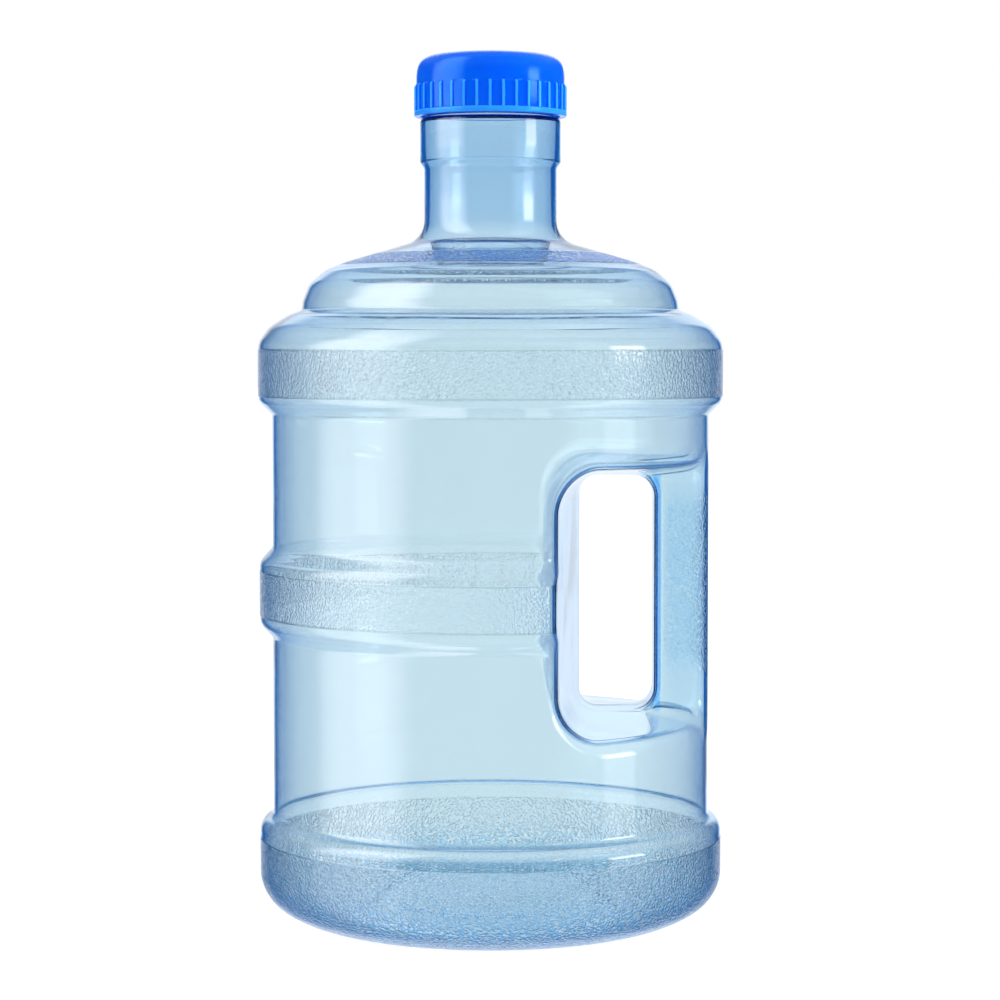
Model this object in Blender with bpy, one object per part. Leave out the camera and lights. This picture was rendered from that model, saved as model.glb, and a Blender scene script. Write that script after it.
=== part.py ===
# Large polycarbonate water jug with an integral hollow grip, a screw cap and a seal.
# Metres, +Z up. The origin is the centre of the jug's underside, on its axis. The grip is on +X.

import math

import bmesh
import bpy
from mathutils import Matrix, Vector

# Body radii
BODY_RADIUS = 0.0915  # plain wall between the bands
BASE_PROUD = 0.0056  # how far the base band stands out from the plain wall
MIDDLE_PROUD = 0.0054  # the same for the middle band
SHOULDER_PROUD = 0.0060  # the same for the top band
GROOVE_DEPTH = 0.0125  # from the plain wall in to the groove above the shoulder
BULGE_INSET = 0.0015  # from the groove in to the top edge of the bulge
CONE_INSET = 0.0135  # from the bulge's edge in to the start of the cone

# Body heights, from the floor up, each added to the one before
BASE_BAND = 0.0440
LOWER_PANEL = 0.0760
MIDDLE_BAND = 0.0368
UPPER_PANEL = 0.0558
TOP_BAND = 0.0389
SHOULDER_DROP = 0.0045
BULGE = 0.0165
BULGE_CROWN = 0.0025

# Blends between those surfaces
BASE_BLEND = 0.018
HEEL_BLEND = 0.040
BAND_BLEND = 0.004
SHOULDER_BLEND = 0.018
BULGE_BLEND = 0.015
GROOVE_BLEND = 0.0015
BAND_SLOPE = 0.004  # height over which a band runs in to the plain wall
CONE_RISE = 0.33  # height gained for each unit of radius on the cone

# Underside
HEEL_INSET = 0.0188  # from the base band in to where the heel meets the floor
HEEL_RISE = 0.0115
PUSH_UP = 0.006
PUSH_UP_RADIUS = 0.052
PUSH_UP_SLOPE = 0.006

# Walls
WALL = 0.0015

# Grip and finger window
GRIP_DEPTH = 0.0231  # from the outside of the wall in to the window
GRIP_WIDTH = 0.0290
GRIP_EDGE = 0.0055
GRIP_LEAN = 0.0008  # how far the pocket stands off the grip's face at its outer edge
WINDOW_WIDTH = 0.0309
WINDOW_HEIGHT = 0.0970
WINDOW_CORNER = 0.0075
DRAFT_SIDE = 0.13  # how far the pocket opens out for each unit of depth
DRAFT_ENDS = 0.06
DRAFT_CORNER = 0.12

# Neck
NECK_RADIUS = 0.0277
NECK_HEIGHT = 0.0300  # from the cone's end up to the step
NECK_ROOT_BLEND = 0.0105
COLLAR_RADIUS = 0.0294
COLLAR_HEIGHT = 0.0188
COLLAR_BLEND = 0.002
COLLAR_SLOPE = 0.003
FINISH_RADIUS = 0.0272  # root of the outside thread
FINISH_HEIGHT = 0.0221
BORE_RADIUS = 0.0253
RIM_BLEND = 0.0006

# Thread
LEAD = 0.006
THREAD_HEIGHT = 0.0014
THREAD_CREST = 0.0012
THREAD_BASE = 0.0024
NECK_TURNS = 1.75
CAP_TURNS = 1.5
THREAD_START = 0.0070  # height of the neck thread's start above the collar
THREAD_FADE = 0.12  # share of a turn over which each end of a thread fades out
THREAD_SINK = 0.0006  # how far a thread runs into the wall that it stands on

# Cap and seal
CAP_WALL = 0.00225
CAP_TOP = 0.0025
CAP_EDGE = 0.007
CAP_GAP = 0.0007  # between the collar and the foot of the skirt
FOOT_PROUD = 0.0009
FOOT_HEIGHT = 0.0023
RIB_COUNT = 36
RIB_WIDTH = 0.0015
RIB_PROUD = 0.0008
RIB_HEIGHT = 0.0133
PLUG_WALL = 0.0014
PLUG_DEPTH = 0.0055
SEAL_THICKNESS = 0.0018

# Clearances
TOUCH_GAP = 0.0003  # between pieces that touch
THREAD_CLEARANCE = 0.0003
BORE_CLEARANCE = 0.0007  # between the plug and the bore
SKIRT_CLEARANCE = 0.00035  # between the thread's crest and the cap's bore
SEAL_CLEARANCE = 0.0003  # round the inside of the seal
SEAL_EDGE_ROOM = 0.0006  # round the outside of the seal

# Fineness of round surfaces
BODY_SEGMENTS = 48
CAP_SEGMENTS = 72
THREAD_SEGMENTS = 36
CORNER_STEPS = 4
ARC_TOLERANCE = 0.00025

# Levels and radii worked out from the sizes above
BASE_TOP = BASE_BAND
MIDDLE_BOTTOM = BASE_TOP + LOWER_PANEL
MIDDLE_TOP = MIDDLE_BOTTOM + MIDDLE_BAND
SHOULDER_BOTTOM = MIDDLE_TOP + UPPER_PANEL
SHOULDER_TOP = SHOULDER_BOTTOM + TOP_BAND
GROOVE_LEVEL = SHOULDER_TOP + SHOULDER_DROP
BULGE_TOP = GROOVE_LEVEL + BULGE
CONE_BOTTOM = BULGE_TOP + BULGE_CROWN
GROOVE_RADIUS = BODY_RADIUS - GROOVE_DEPTH
BULGE_RADIUS = GROOVE_RADIUS - BULGE_INSET
CONE_RADIUS = BULGE_RADIUS - CONE_INSET
NECK_BOTTOM = CONE_BOTTOM + CONE_RISE * (CONE_RADIUS - NECK_RADIUS)
COLLAR_BOTTOM = NECK_BOTTOM + NECK_HEIGHT
COLLAR_TOP = COLLAR_BOTTOM + COLLAR_HEIGHT
RIM_LEVEL = COLLAR_TOP + FINISH_HEIGHT
GRIP_LEVEL = (MIDDLE_BOTTOM + MIDDLE_TOP) / 2
WINDOW_RIGHT = BODY_RADIUS - GRIP_DEPTH
WINDOW_LEFT = WINDOW_RIGHT - WINDOW_WIDTH
THREAD_CREST_RADIUS = FINISH_RADIUS + THREAD_HEIGHT
CAP_BORE_RADIUS = THREAD_CREST_RADIUS + SKIRT_CLEARANCE
CAP_RADIUS = CAP_BORE_RADIUS + CAP_WALL
CAP_LEVEL = COLLAR_TOP + CAP_GAP
SEAL_LEVEL = RIM_LEVEL + TOUCH_GAP
CEILING_LEVEL = SEAL_LEVEL + SEAL_THICKNESS + TOUCH_GAP
PLUG_RADIUS = BORE_RADIUS - BORE_CLEARANCE


def clear_scene():
    for old in list(bpy.data.objects):
        bpy.data.objects.remove(old, do_unlink=True)


def rounded(corners, closed=False):
    """Outline through corners (radius, height, blend), with an arc at each corner that has a blend."""
    points = []
    last = len(corners) - 1
    for index, (across, up, blend) in enumerate(corners):
        here = Vector((across, up))
        if blend == 0 or (not closed and index in (0, last)):
            points.append(here)
            continue
        back = Vector(corners[index - 1][:2]) - here
        ahead = Vector(corners[(index + 1) % len(corners)][:2]) - here
        back.normalize()
        ahead.normalize()
        half = back.angle(ahead) / 2
        centre = here + (back + ahead).normalized() * blend / math.sin(half)
        arm = here + back * blend / math.tan(half) - centre
        end = here + ahead * blend / math.tan(half) - centre
        sweep = math.atan2(arm.x * end.y - arm.y * end.x, arm.dot(end))
        widest = 2 * math.acos(max(1 - ARC_TOLERANCE / blend, 0.5))
        steps = max(1, math.ceil(abs(sweep) / widest))
        for step in range(steps + 1):
            points.append(centre + Matrix.Rotation(sweep * step / steps, 2) @ arm)
    return points


def new_object(name, bm):
    bmesh.ops.remove_doubles(bm, verts=bm.verts, dist=1e-6)
    bmesh.ops.recalc_face_normals(bm, faces=bm.faces)
    mesh = bpy.data.meshes.new(name)
    bm.to_mesh(mesh)
    bm.free()
    obj = bpy.data.objects.new(name, mesh)
    bpy.context.collection.objects.link(obj)
    return obj


def turned(name, outline, segments, closed=False):
    """Body of revolution about Z. An open outline starts and ends on the axis."""
    bm = bmesh.new()
    verts = [bm.verts.new((point.x, 0, point.y)) for point in outline]
    edges = [bm.edges.new(pair) for pair in zip(verts, verts[1:])]
    if closed:
        edges.append(bm.edges.new((verts[-1], verts[0])))
    bmesh.ops.spin(
        bm, geom=verts + edges, cent=(0, 0, 0), axis=(0, 0, 1), angle=math.tau, steps=segments
    )
    return new_object(name, bm)


def lofted(name, loops):
    """Closed body through loops of equal length, with a flat face at each end."""
    bm = bmesh.new()
    rings = [[bm.verts.new(point) for point in loop] for loop in loops]
    for first, second in zip(rings, rings[1:]):
        for index in range(len(first)):
            following = (index + 1) % len(first)
            bm.faces.new((first[index], first[following], second[following], second[index]))
    bm.faces.new(rings[0])
    bm.faces.new(rings[-1])
    return new_object(name, bm)


def combine(target, other, operation):
    """Boolean that leaves the other object as a hidden wire guide."""
    modifier = target.modifiers.new(other.name, "BOOLEAN")
    modifier.operation = operation
    modifier.solver = "EXACT"
    modifier.object = other
    other.hide_render = True
    other.display_type = "WIRE"


def finish(obj, colour, roughness, transmission=0.0, index_of_refraction=1.5):
    material = bpy.data.materials.new(obj.name)
    material.use_nodes = True
    shader = material.node_tree.nodes["Principled BSDF"]
    shader.inputs["Base Color"].default_value = (*colour, 1)
    shader.inputs["Roughness"].default_value = roughness
    shader.inputs["Metallic"].default_value = 0
    shader.inputs["Transmission Weight"].default_value = transmission
    shader.inputs["IOR"].default_value = index_of_refraction
    obj.data.materials.append(material)
    obj.data.shade_smooth()
    obj.data.set_sharp_from_angle(angle=math.radians(35))


def body_corners(wall):
    """Corners of the body from the axis at the foot up to the neck, moved in by the wall."""
    base = BODY_RADIUS + BASE_PROUD - wall
    plain = BODY_RADIUS - wall
    top = BODY_RADIUS + SHOULDER_PROUD - wall
    lower, upper = BAND_BLEND + wall, BAND_BLEND - wall
    return [
        (0, PUSH_UP + wall, 0),
        (PUSH_UP_RADIUS, PUSH_UP + wall, BAND_BLEND),
        (PUSH_UP_RADIUS + PUSH_UP_SLOPE, wall, 0.002),
        (base - HEEL_INSET, wall, HEEL_BLEND - wall),
        (base, HEEL_RISE + wall, BASE_BLEND - wall),
        (base, BASE_TOP - BAND_SLOPE / 2 - wall, upper),
        (plain, BASE_TOP - wall, 0.001 + wall / 2),
        (plain, SHOULDER_BOTTOM + wall, 0.001 + wall / 2),
        (top, SHOULDER_BOTTOM + BAND_SLOPE + wall, upper),
        (top, SHOULDER_TOP - wall, SHOULDER_BLEND - wall),
        (GROOVE_RADIUS - wall, GROOVE_LEVEL - wall / 2, GROOVE_BLEND + wall / 2),
        (BULGE_RADIUS - wall, BULGE_TOP - wall, BULGE_BLEND - wall),
        (CONE_RADIUS - wall / 2, CONE_BOTTOM - wall, lower),
    ]


def band_corners(wall):
    """Closed section of the middle band, which runs into the body's wall behind it."""
    outer = BODY_RADIUS + MIDDLE_PROUD - wall
    plain = BODY_RADIUS - wall
    back = plain - BAND_BLEND
    return [
        (back, MIDDLE_BOTTOM + wall, 0),
        (plain, MIDDLE_BOTTOM + wall, 0),
        (outer, MIDDLE_BOTTOM + BAND_SLOPE * 1.5 + wall, BAND_BLEND - wall),
        (outer, MIDDLE_TOP - BAND_SLOPE * 1.5 - wall, BAND_BLEND - wall),
        (plain, MIDDLE_TOP - wall, 0),
        (back, MIDDLE_TOP - wall, 0),
    ]


def band_arc(name, wall):
    """The middle band, which stops where the pocket of the grip begins."""
    band = turned(name, rounded(band_corners(wall), closed=True), BODY_SEGMENTS, closed=True)
    reach = 2 * (BODY_RADIUS + MIDDLE_PROUD)
    depth = math.sqrt(BODY_RADIUS**2 - WINDOW_LEFT**2)
    start = WINDOW_LEFT - DRAFT_SIDE * depth - wall
    loops = []
    for side in (start, start + reach):
        loops.append(
            [(side, y, z) for y, z in ((-reach, 0), (reach, 0), (reach, reach), (-reach, reach))]
        )
    gap = lofted(name + "_gap", loops)
    gap.location.z = GRIP_LEVEL - reach / 2
    combine(band, gap, "DIFFERENCE")
    return band


def pocket_loop(depth, right, wall):
    """Rounded rectangle of the pocket at one depth from the middle plane, facing along Y."""
    distance = abs(depth)
    left = WINDOW_LEFT - DRAFT_SIDE * distance - wall
    half = WINDOW_HEIGHT / 2 + DRAFT_ENDS * distance + wall
    corner = WINDOW_CORNER + DRAFT_CORNER * distance + wall
    centres = [
        (right - WINDOW_CORNER - wall, -half, 270, WINDOW_CORNER + wall),
        (right - WINDOW_CORNER - wall, half, 0, WINDOW_CORNER + wall),
        (left + corner, half, 90, corner),
        (left + corner, -half, 180, corner),
    ]
    loop = []
    for across, up, first_angle, radius in centres:
        up -= math.copysign(radius, up)
        for step in range(CORNER_STEPS + 1):
            angle = math.radians(first_angle + 90 * step / CORNER_STEPS)
            x = across + radius * math.cos(angle)
            z = GRIP_LEVEL + up + radius * math.sin(angle)
            loop.append((x, depth, z))
    return loop


def pocket(name, wall):
    """Window through the body and the drafted recess in front and behind, round the grip."""
    reach = BODY_RADIUS + BASE_PROUD + SHOULDER_PROUD
    edge = GRIP_EDGE - wall
    flat = GRIP_WIDTH / 2 - GRIP_EDGE
    inner = WINDOW_RIGHT + GRIP_EDGE
    stations = [(reach, 2 * reach), (flat + edge + GRIP_LEAN, 2 * reach)]
    for step in range(CORNER_STEPS + 1):
        angle = math.radians(90 - 90 * step / CORNER_STEPS)
        stations.append((flat + edge * math.sin(angle), inner - edge * math.cos(angle)))
    loops = [pocket_loop(-depth, right, wall) for depth, right in stations]
    loops += [pocket_loop(depth, right, wall) for depth, right in reversed(stations)]
    return lofted(name, loops)


def ridge(name, root, crest, start, turns):
    """Helical thread that rises anticlockwise and fades out at both ends."""
    outward = 1 if crest > root else -1
    count = math.ceil(turns * THREAD_SEGMENTS)
    loops = []
    for step in range(count + 1):
        turn = turns * step / count
        fade = min(1, turn / THREAD_FADE, (turns - turn) / THREAD_FADE)
        top = root + (crest - root) * fade - outward * THREAD_SINK / 2 * (1 - fade)
        foot = root - outward * THREAD_SINK
        level = start + LEAD * turn
        spin = Matrix.Rotation(math.tau * turn, 3, "Z")
        section = [
            (foot, -THREAD_BASE / 2),
            (top, -THREAD_CREST / 2),
            (top, THREAD_CREST / 2),
            (foot, THREAD_BASE / 2),
        ]
        loops.append([spin @ Vector((radius, 0, level + up)) for radius, up in section])
    return lofted(name, loops)


def make_cavity():
    """Space inside the jug, from the floor up through the mouth."""
    bore_start = CONE_BOTTOM - WALL + CONE_RISE * (CONE_RADIUS - BORE_RADIUS)
    corners = body_corners(WALL)
    corners += [
        (BORE_RADIUS, bore_start, NECK_ROOT_BLEND),
        (BORE_RADIUS, RIM_LEVEL + FINISH_HEIGHT, 0),
        (0, RIM_LEVEL + FINISH_HEIGHT, 0),
    ]
    cavity = turned("cavity", rounded(corners), BODY_SEGMENTS)
    combine(cavity, band_arc("cavity_band", WALL), "UNION")
    combine(cavity, pocket("cavity_pocket", WALL), "DIFFERENCE")
    return cavity


def make_bottle():
    corners = body_corners(0)
    corners += [
        (NECK_RADIUS, NECK_BOTTOM, NECK_ROOT_BLEND),
        (NECK_RADIUS, COLLAR_BOTTOM, 0.001),
        (COLLAR_RADIUS, COLLAR_BOTTOM + COLLAR_SLOPE, 0.001),
        (COLLAR_RADIUS, COLLAR_TOP, COLLAR_BLEND),
        (FINISH_RADIUS, COLLAR_TOP, 0),
        (FINISH_RADIUS, RIM_LEVEL, RIM_BLEND),
        (0, RIM_LEVEL, 0),
    ]
    bottle = turned("bottle", rounded(corners), BODY_SEGMENTS)
    combine(bottle, band_arc("middle_band", 0), "UNION")
    combine(bottle, pocket("grip_pocket", 0), "DIFFERENCE")
    combine(bottle, make_cavity(), "DIFFERENCE")
    start = COLLAR_TOP + THREAD_START
    thread = ridge("neck_thread", FINISH_RADIUS, THREAD_CREST_RADIUS, start, NECK_TURNS)
    combine(bottle, thread, "UNION")
    finish(bottle, (0.50, 0.66, 0.80), 0.04, transmission=1.0, index_of_refraction=1.58)
    return bottle


def make_ribs(foot):
    """Grip ribs round the cap's skirt, each with a round upper end."""
    radius = RIB_WIDTH / 2
    face = [(-radius, 0), (radius, 0)]
    for step in range(CORNER_STEPS + 1):
        angle = math.pi * step / CORNER_STEPS
        face.append((radius * math.cos(angle), RIB_HEIGHT - radius + radius * math.sin(angle)))
    bm = bmesh.new()
    for index in range(RIB_COUNT):
        spin = Matrix.Rotation(math.tau * index / RIB_COUNT, 3, "Z")
        loops = []
        for out in (CAP_RADIUS - CAP_WALL / 2, CAP_RADIUS + RIB_PROUD):
            loops.append([bm.verts.new(spin @ Vector((out, y, foot + z))) for y, z in face])
        for step in range(len(face)):
            following = (step + 1) % len(face)
            bm.faces.new((loops[0][step], loops[0][following], loops[1][following], loops[1][step]))
        bm.faces.new(loops[0])
        bm.faces.new(loops[1])
    return new_object("cap_ribs", bm)


def make_cap():
    foot = CAP_RADIUS + FOOT_PROUD
    ceiling = CEILING_LEVEL - CAP_LEVEL
    top = ceiling + CAP_TOP
    corners = [
        (0, top, 0),
        (CAP_RADIUS, top, CAP_EDGE),
        (CAP_RADIUS, FOOT_HEIGHT + FOOT_PROUD / 4, 0),
        (foot, FOOT_HEIGHT, 0),
        (foot, 0, FOOT_PROUD / 2),
        (CAP_BORE_RADIUS, 0, FOOT_PROUD / 2),
        (CAP_BORE_RADIUS, ceiling, 0),
        (PLUG_RADIUS, ceiling, 0),
        (PLUG_RADIUS, ceiling - PLUG_DEPTH, PLUG_WALL / 3),
        (PLUG_RADIUS - PLUG_WALL, ceiling - PLUG_DEPTH, PLUG_WALL / 3),
        (PLUG_RADIUS - PLUG_WALL, ceiling, 0),
        (0, ceiling, 0),
    ]
    cap = turned("screw_cap", rounded(corners), CAP_SEGMENTS)
    ribs = make_ribs(FOOT_HEIGHT / 2)
    neck_start = COLLAR_TOP + THREAD_START - CAP_LEVEL
    flanks = (THREAD_BASE + THREAD_CREST) / 2
    start = neck_start - flanks - THREAD_CLEARANCE
    crest = FINISH_RADIUS + THREAD_CLEARANCE
    thread = ridge("cap_thread", CAP_BORE_RADIUS, crest, start, CAP_TURNS)
    for piece in (cap, ribs, thread):
        piece.location.z = CAP_LEVEL
    combine(cap, ribs, "UNION")
    combine(cap, thread, "UNION")
    finish(cap, (0.005, 0.07, 0.80), 0.3)
    return cap


def make_seal():
    inner = PLUG_RADIUS + SEAL_CLEARANCE
    outer = CAP_BORE_RADIUS - SEAL_EDGE_ROOM
    corners = [
        (inner, 0, 0),
        (outer, 0, 0),
        (outer, SEAL_THICKNESS, 0),
        (inner, SEAL_THICKNESS, 0),
    ]
    seal = turned("cap_seal", rounded(corners, closed=True), BODY_SEGMENTS, closed=True)
    seal.location.z = SEAL_LEVEL
    finish(seal, (0.75, 0.77, 0.78), 0.6)
    return seal


def main():
    clear_scene()
    axis = bpy.data.objects.new("jug_axis", None)
    bpy.context.collection.objects.link(axis)
    for piece in (make_bottle(), make_cap(), make_seal()):
        piece.parent = axis


main()
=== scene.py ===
import math

import bmesh
import bpy
from mathutils import Matrix, Vector


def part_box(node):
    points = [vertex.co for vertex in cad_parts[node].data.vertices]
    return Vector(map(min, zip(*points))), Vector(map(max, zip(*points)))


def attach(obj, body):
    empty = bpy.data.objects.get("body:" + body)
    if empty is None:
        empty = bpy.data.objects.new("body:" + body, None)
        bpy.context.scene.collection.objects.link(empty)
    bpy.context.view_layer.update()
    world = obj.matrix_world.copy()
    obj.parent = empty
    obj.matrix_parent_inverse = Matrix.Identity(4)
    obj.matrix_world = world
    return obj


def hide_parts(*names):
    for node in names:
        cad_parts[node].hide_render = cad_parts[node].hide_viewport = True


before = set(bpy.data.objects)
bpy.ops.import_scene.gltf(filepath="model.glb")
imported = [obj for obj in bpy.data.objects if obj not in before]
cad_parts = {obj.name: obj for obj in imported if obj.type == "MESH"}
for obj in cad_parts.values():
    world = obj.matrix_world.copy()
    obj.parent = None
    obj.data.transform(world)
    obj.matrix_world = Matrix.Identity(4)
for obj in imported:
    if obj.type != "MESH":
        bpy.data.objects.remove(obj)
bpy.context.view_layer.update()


def leaveEdit():
    if bpy.context.object and bpy.context.object.mode != "OBJECT":
        bpy.ops.object.mode_set(mode="OBJECT")


def only(obj):
    leaveEdit()
    bpy.ops.object.select_all(action="DESELECT")
    obj.select_set(True)
    bpy.context.view_layer.objects.active = obj


def applyModifier(obj, kind, **settings):
    modifier = obj.modifiers.new(kind.lower(), kind)
    for name, value in settings.items():
        setattr(modifier, name, value)
    only(obj)
    bpy.ops.object.modifier_apply(modifier=modifier.name)


def arcPoints(corners, tolerance=0.00004, closed=False):
    # corners are (radius, height, blend): each blend becomes an arc
    points = []
    last = len(corners) - 1
    for index, (across, up, blend) in enumerate(corners):
        here = Vector((across, up))
        if blend == 0 or (not closed and index in (0, last)):
            points.append(here)
            continue
        back = (Vector(corners[index - 1][:2]) - here).normalized()
        ahead = (Vector(corners[(index + 1) % len(corners)][:2]) - here).normalized()
        half = back.angle(ahead) / 2
        centre = here + (back + ahead).normalized() * blend / math.sin(half)
        arm = here + back * blend / math.tan(half) - centre
        end = here + ahead * blend / math.tan(half) - centre
        sweep = math.atan2(arm.x * end.y - arm.y * end.x, arm.dot(end))
        steps = max(2, math.ceil(abs(sweep) / (2 * math.acos(max(1 - tolerance / blend, 0.5)))))
        points += [centre + Matrix.Rotation(sweep * s / steps, 2) @ arm for s in range(steps + 1)]
    return points


def withRows(points, step, low=-1, high=1e9):
    # long straight runs between the heights low and high get rows no further apart than step
    rows = [points[0]]
    for before, after in zip(points, points[1:]):
        inside = low <= min(before.y, after.y) and max(before.y, after.y) <= high
        count = math.ceil((after - before).length / step - 1e-6) if inside else 1
        rows += [before.lerp(after, s / max(count, 1)) for s in range(1, max(count, 1) + 1)]
    return rows


def turnProfile(name, points, segments, closed=False):
    # one vertex is drawn along the profile, and the line is spun round the jug's axis
    bpy.ops.object.select_all(action="DESELECT")
    bpy.ops.mesh.primitive_plane_add(size=0.001)
    obj = bpy.context.object
    obj.name = obj.data.name = name
    bpy.ops.object.mode_set(mode="EDIT")
    bpy.ops.mesh.select_all(action="SELECT")
    bpy.ops.mesh.merge(type="CENTER")
    bpy.ops.transform.translate(value=(points[0].x, 0, points[0].y))
    for before, after in zip(points, points[1:]):
        move = (after.x - before.x, 0, after.y - before.y)
        bpy.ops.mesh.extrude_region_move(TRANSFORM_OT_translate={"value": move})
    if closed:
        bpy.ops.mesh.select_all(action="DESELECT")
        bm = bmesh.from_edit_mesh(obj.data)
        for vert in bm.verts:
            vert.select = len(vert.link_edges) == 1
        bmesh.update_edit_mesh(obj.data)
        bpy.ops.mesh.edge_face_add()
    bpy.ops.mesh.select_all(action="SELECT")
    bpy.ops.mesh.spin(
        steps=segments, angle=math.tau, center=(0, 0, 0), axis=(0, 0, 1), use_auto_merge=False
    )
    bpy.ops.mesh.select_all(action="SELECT")
    bpy.ops.mesh.remove_doubles(threshold=0.000005)
    bpy.ops.mesh.normals_make_consistent(inside=False)
    bpy.ops.object.mode_set(mode="OBJECT")
    bpy.context.view_layer.update()
    return obj


def smoothShade(obj, degrees=40):
    only(obj)
    bpy.ops.object.shade_smooth_by_angle(angle=math.radians(degrees))


def polar(point):
    return math.hypot(point.x, point.y), math.atan2(point.y, point.x)


def ridgeHeight(thread, angle, level, start, turns):
    # how far a helical thread stands out of its wall at this angle and height
    best = 0.0
    for whole in range(-1, math.ceil(turns) + 1):
        turn = angle / math.tau % 1 + whole
        if not 0 <= turn <= turns:
            continue
        fade = min(1, turn / thread["fadeTurns"], (turns - turn) / thread["fadeTurns"])
        offset = abs(level - start - thread["lead"] * turn)
        slope = (thread["base"] - thread["crest"]) / 2
        share = (thread["base"] / 2 - offset) / slope
        best = max(best, min(max(share, 0), 1) * fade * thread["height"])
    return best


# the jug, in metres unless a name says otherwise
jug = {
    "plainRadius": 0.0915,
    "baseRadius": 0.0970,
    "middleRadius": 0.0969,
    "topRadius": 0.0972,
    "embossHeight": 0.00015,
    "baseEmbossTop": 0.0357,
    "middleEmboss": (0.1291, 0.1477),
    "topEmboss": (0.2202, 0.2395),
    "coneEmboss": (0.0482, 0.0634),
    "gripEmboss": (0.107, 0.177),
    "segments": 192,
    "rowStep": 0.0032,
    "wall": 0.0014,
    "neckWall": 0.0024,
    "mouthWall": 0.0019,
    "neckFrom": 0.283,
    "neckRun": 0.018,
    "mouthFrom": 0.325,
    "mouthRun": 0.014,
    "grip": {
        "level": 0.1384,
        "windowLeft": 0.0375,
        "windowRight": 0.0684,
        "windowHalf": 0.0485,
        "windowCorner": 0.0075,
        "faceDepth": 0.0145,
        "edge": 0.0055,
        "sideDraft": 0.13,
        "endDraft": 0.06,
        "outerCorner": 0.019,
        "innerCorner": 0.010,
        "footCorner": 0.010,
        "sideBlend": 0.0052,
        "rightBlend": 0.0080,
        "endBlend": 0.0075,
        "bandCorner": 0.0050,
        "bandHalf": 0.0188,
        "holeHalf": 0.0640,
        "holeLeftDegrees": -80.625,
        "holeRightDegrees": -3.75,
    },
    "thread": {
        "rootRadius": 0.0272,
        "collarTop": 0.33578,
        "height": 0.0014,
        "lead": 0.006,
        "crest": 0.0012,
        "base": 0.0024,
        "turns": 1.75,
        "startAboveCollar": 0.007,
        "fadeTurns": 0.12,
    },
}
grip = jug["grip"]
finishThread = jug["thread"]


def jugOutline():
    j = jug
    level, hole = grip["level"], grip["holeHalf"]
    plain, base, middle, top = j["plainRadius"], j["baseRadius"], j["middleRadius"], j["topRadius"]
    lift = j["embossHeight"]
    lowEmboss, highEmboss = j["middleEmboss"]
    lowTop, highTop = j["topEmboss"]
    corners = [
        (0, 0.0050, 0),
        (0.0120, 0.0052, 0.002),
        (0.0440, 0.0066, 0.012),
        (0.0560, 0.0000, 0.0035),
        (base + lift - 0.0188, 0, 0.040),
        (base + lift, 0.0115, 0.018),
        (base + lift, j["baseEmbossTop"], 0.0001),
        (base, j["baseEmbossTop"] + 0.0004, 0.0001),
        (base, 0.0420, 0.0060),
        (plain, 0.0448, 0.0030),
        (plain, level - hole, 0),
        (plain, 0.1196, 0.0020),
        (middle, 0.1256, 0.0055),
        (middle, lowEmboss - 0.0003, 0.0001),
        (middle + lift, lowEmboss, 0.0001),
        (middle + lift, highEmboss, 0.0001),
        (middle, highEmboss + 0.0003, 0.0001),
        (middle, 0.1512, 0.0055),
        (plain, 0.1572, 0.0020),
        (plain, level + hole, 0),
        (plain, 0.2124, 0.0022),
        (top - 0.0002, 0.2180, 0.0045),
        (top, lowTop - 0.0003, 0.0001),
        (top + lift, lowTop, 0.0001),
        (top + lift, highTop, 0.0001),
        (top, highTop + 0.0003, 0.0001),
        (top, 0.2425, 0.0080),
        (0.0925, 0.2490, 0.0100),
        (0.0845, 0.2540, 0.0120),
        (0.0790, 0.2560, 0.0014),
        (0.0784, 0.2600, 0.0060),
        (0.0758, 0.2668, 0.0080),
        (0.0690, 0.2727, 0.0100),
        (0.0600, 0.2762, 0.0200),
        (0.0277, 0.2857, 0.0105),
        (0.0277, 0.3150, 0.0020),
        (0.0294, 0.3176, 0.0014),
        (0.0294, 0.3358, 0.0019),
        (0.0272, 0.3360, 0.0003),
        (0.0272, 0.3576, 0.0006),
        (0.0262, 0.3578, 0),
    ]
    points = arcPoints(corners)
    rows = withRows(points, j["rowStep"], level - hole - 0.0001, level + hole + 0.0001)
    return withRows(rows, 0.0006, 0.3359, 0.3577)


def ringPlaces(rows, columns):
    # every vertex round the hole, as the side or corner that it belongs to and its share along it
    g = grip
    straightLow = g["level"] - outerHalf() + g["outerCorner"]
    straightHigh = g["level"] + outerHalf() - g["outerCorner"]
    footLow = g["level"] - outerHalf() + g["footCorner"]
    footHigh = g["level"] + outerHalf() - g["footCorner"]
    leftEnd = edgeAngle(jug["plainRadius"]) + g["outerCorner"] / jug["plainRadius"]
    rightEnd = rightAngle() - g["footCorner"] / jug["plainRadius"]

    def share(value, low, high):
        return (value - low) / (high - low)

    left = [("left", share(z, straightLow, straightHigh)) for z in rows]
    top = [("top", share(a, leftEnd, rightEnd)) for a in columns]
    right = [("right", share(z, footHigh, footLow)) for z in reversed(rows)]
    bottom = [("bottom", share(a, rightEnd, leftEnd)) for a in reversed(columns)]
    around = left[:-1] + top[:-1] + right[:-1] + bottom[:-1]
    places = []
    for side, value in around:
        places.append((side, value) if -1e-9 <= value <= 1 + 1e-9 else None)
    corners = {"left": "topLeft", "top": "topRight", "right": "bottomRight", "bottom": "bottomLeft"}
    count = len(places)
    first = next(i for i in range(count) if places[i] and not places[i - 1])
    order = [(first + step) % count for step in range(count)]
    run, lastSide = [], None
    for index in order + [order[0]]:
        if places[index] and run:
            for step, slot in enumerate(run):
                places[slot] = (corners[lastSide], (step + 1) / (len(run) + 1))
            run = []
        if places[index]:
            lastSide = places[index][0]
            if lastSide not in corners:
                break
        else:
            run.append(index)
    return places


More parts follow.
